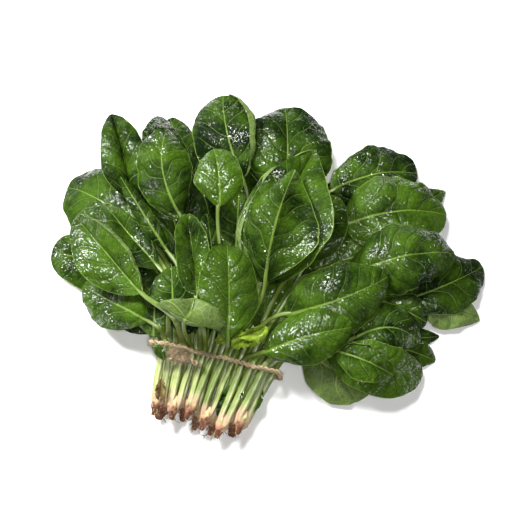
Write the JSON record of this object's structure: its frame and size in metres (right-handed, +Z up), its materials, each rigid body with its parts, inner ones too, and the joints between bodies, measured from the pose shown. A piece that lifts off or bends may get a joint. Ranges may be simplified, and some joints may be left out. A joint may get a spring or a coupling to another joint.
{
  "type": "bunch of spinach",
  "caption": "Bunch of spinach tied with jute twine, lying down with its dark glossy leaves fanned out from pale stalks and pink-brown root crowns.",
  "frame": {"origin": "centre of the bunch's footprint on the surface it lies on", "axes": "+Z up, out of the surface; +Y from the root ends towards the leaf tips; +X to the right when seen from the root ends, along the widest spread of the leaves"},
  "size_m": [0.3355, 0.2683, 0.0746],
  "materials": {
    "leaf": "living leaf: waxy, wet gloss over a blistered, deep green blade; paler and duller underneath",
    "young_leaf": "thin, crumpled, yellow-green young leaf",
    "crown": "cut root end, fibrous, pink to earth brown",
    "twine": "two-ply natural jute, hairy"
  },
  "bodies": {
    "root": {"crown_lower_1": "crown", "crown_lower_2": "crown", "crown_lower_3": "crown", "crown_lower_4": "crown", "crown_lower_5": "crown", "crown_upper_1": "crown", "crown_upper_2": "crown", "crown_upper_3": "crown", "crown_upper_4": "crown", "crown_upper_5": "crown", "crown_upper_6": "crown", "leaf_01": "leaf", "leaf_02": "leaf", "leaf_03": "leaf", "leaf_04": "leaf", "leaf_05": "leaf", "leaf_06": "leaf", "leaf_07": "leaf", "leaf_08": "leaf", "leaf_09": "leaf", "leaf_10": "leaf", "leaf_11": "leaf", "leaf_12": "leaf", "leaf_13": "leaf", "leaf_14": "leaf", "leaf_15": "leaf", "leaf_16": "leaf", "leaf_17": "leaf", "leaf_18": "leaf", "leaf_19": "leaf", "leaf_20": "leaf", "leaf_21": "leaf", "leaf_22": "leaf", "leaf_23": "leaf", "leaf_24": "leaf", "leaf_25": "leaf", "leaf_26": "leaf", "leaf_27": "leaf", "leaf_28": "leaf", "leaf_29": "leaf", "leaf_30": "leaf", "leaf_31": "leaf", "leaf_32": "leaf", "leaf_33": "leaf", "leaf_34": "leaf", "leaf_35": "leaf", "leaf_36": "leaf", "leaf_37": "leaf", "leaf_38": "leaf", "leaf_39": "leaf", "leaf_40": "young_leaf", "leaf_41": "leaf", "leaf_42": "leaf", "leaf_43": "leaf", "twine_end_left": "twine", "twine_end_right": "twine", "twine_knot": "twine", "twine_loop": "twine"}
  },
  "joints": []
}
